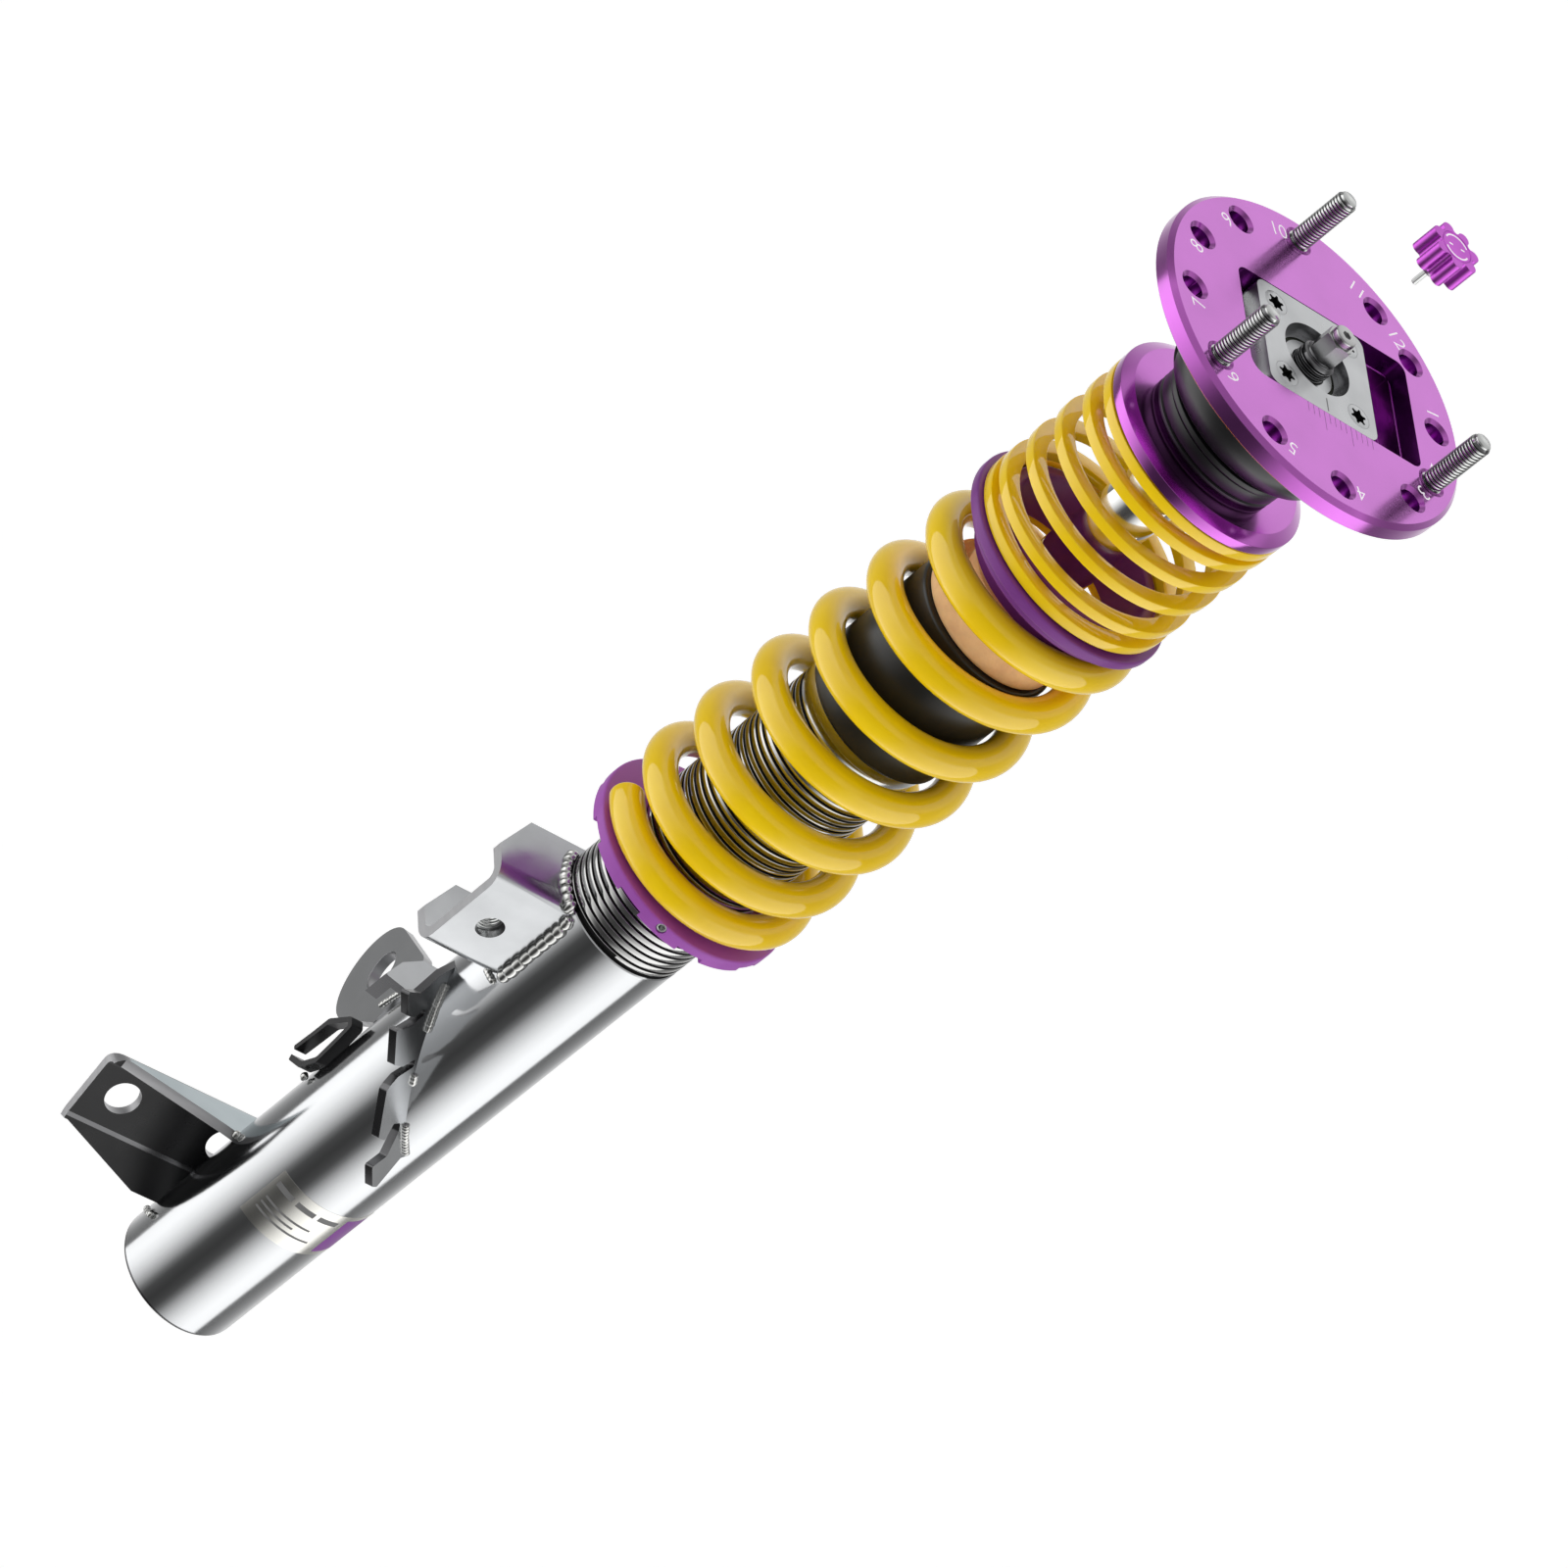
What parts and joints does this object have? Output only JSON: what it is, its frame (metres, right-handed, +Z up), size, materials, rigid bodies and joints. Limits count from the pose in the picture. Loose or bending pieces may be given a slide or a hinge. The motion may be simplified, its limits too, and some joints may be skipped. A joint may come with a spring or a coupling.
{
  "type": "coilover strut",
  "caption": "Front coilover strut with a threaded spring perch, a main and a helper spring, a sliding camber plate on a ball joint and a pull-off damping knob.",
  "frame": {"origin": "centre of the strut tube's flat lower end", "axes": "+Z up the strut axis, +X out over the knuckle brackets"},
  "size_m": [0.1398, 0.1345, 0.661],
  "materials": {
    "polished_steel": "polished",
    "thread_steel": "cut thread",
    "plated_steel": "zinc plated",
    "dark_sheet": "gloss",
    "grey_sheet": "satin",
    "chrome_rod": "mirror",
    "black_alloy": "satin",
    "black_plastic": "moulded",
    "spring_yellow": "gloss powder coat",
    "violet_plastic": "satin moulded",
    "violet_dark": "satin moulded",
    "violet_anodised": "anodised",
    "violet_seat": "anodised gloss",
    "foam_orange": "cellular foam",
    "seal_rubber": "satin",
    "bearing_steel": "ground",
    "liner_polymer": "woven liner",
    "screw_steel": "phosphated",
    "white_polymer": "smooth"
  },
  "bodies": {
    "strut": {"strut_tube": "polished_steel", "base_cap": "dark_sheet", "base_valve": "plated_steel", "pressure_tube": "plated_steel", "rod_guide": "plated_steel", "rod_seal": "seal_rubber", "gland_nut": "plated_steel", "threaded_sleeve": "thread_steel", "end_cap": "black_plastic", "bump_stop": "foam_orange", "knuckle_bracket": "dark_sheet", "clevis_bracket": "grey_sheet", "clevis_nut": "plated_steel", "stabiliser_tab": "grey_sheet", "hose_comb_bracket": "grey_sheet", "hose_arm": "grey_sheet", "hose_clip": "dark_sheet"},
    "spring_carriage": {"main_spring": "spring_yellow"},
    "perch": {"spring_perch": "violet_plastic", "perch_set_screw": "plated_steel"},
    "coupler": {"spring_coupler": "violet_dark", "helper_spring": "spring_yellow"},
    "rod": {"piston_rod": "chrome_rod", "piston": "plated_steel", "piston_band": "white_polymer", "piston_nut": "screw_steel", "rebound_stop": "seal_rubber", "bump_washer": "plated_steel", "bearing_sleeve": "bearing_steel", "bearing_upper_race": "black_alloy"},
    "seat": {"upper_seat": "violet_seat", "bearing_lower_race": "black_alloy", "bearing_balls": "bearing_steel"},
    "ball": {"swivel_ball": "bearing_steel"},
    "liner": {"swivel_liner": "liner_polymer"},
    "mount_block": {"swivel_race": "bearing_steel", "bearing_cup": "bearing_steel", "mount_cover": "black_alloy", "retaining_ring": "screw_steel", "camber_slider": "bearing_steel", "slider_screws": "screw_steel"},
    "camber_plate_body": {"camber_plate": "violet_anodised", "plate_studs": "plated_steel"},
    "adjuster": {"adjuster_needle": "screw_steel"},
    "knob": {"adjuster_knob": "violet_dark", "knob_pin": "plated_steel"}
  },
  "joints": [
    {"name": "perch_height", "type": "slide", "parent": "strut", "child": "spring_carriage", "axis": [0, 0, 1], "range_m": [-0.027, 0]},
    {"name": "perch_turn", "type": "hinge", "parent": "spring_carriage", "child": "perch", "pos_m": [0, 0, 0.288], "axis": [0, 0, 1], "range_deg": [-3240, 0]},
    {"name": "rod_slide", "type": "slide", "parent": "strut", "child": "rod", "axis": [0, 0, 1], "range_m": [-0.07, 0], "stiffness_N_per_m": 9000, "springref_m": 0.012, "deforming": ["helper_spring"]},
    {"name": "coupler_slide", "type": "slide", "parent": "spring_carriage", "child": "coupler", "axis": [0, 0, 1], "range_m": [-0.035, 0], "deforming": ["main_spring"]},
    {"name": "seat_turn", "type": "hinge", "parent": "rod", "child": "seat", "pos_m": [0, 0, 0.548], "axis": [0, 0, 1], "continuous": true},
    {"name": "ball_turn", "type": "hinge", "parent": "rod", "child": "ball", "pos_m": [0, 0, 0.586], "axis": [0, 0, 1], "continuous": true},
    {"name": "tilt_x", "type": "hinge", "parent": "ball", "child": "liner", "pos_m": [0, 0, 0.586], "axis": [1, 0, 0], "range_deg": [-1.5, 1.5]},
    {"name": "tilt_y", "type": "hinge", "parent": "liner", "child": "mount_block", "pos_m": [0, 0, 0.586], "axis": [0, 1, 0], "range_deg": [-1.5, 1.5]},
    {"name": "camber_slide", "type": "slide", "parent": "mount_block", "child": "camber_plate_body", "axis": [1, 0, 0], "range_m": [-0.006, 0.0165]},
    {"name": "adjuster_turn", "type": "hinge", "parent": "rod", "child": "adjuster", "pos_m": [0, 0, 0.609], "axis": [0, 0, 1], "range_deg": [-360, 360]},
    {"name": "knob_pull", "type": "slide", "parent": "adjuster", "child": "knob", "axis": [0, 0, 1], "range_m": [-0.0316, 0]}
  ],
  "couplings": [
    {"joint": "perch_turn", "follows": "perch_height", "rad_per_m": 2094.4},
    {"joint": "coupler_slide", "follows": "rod_slide", "ratio": 0.5}
  ]
}
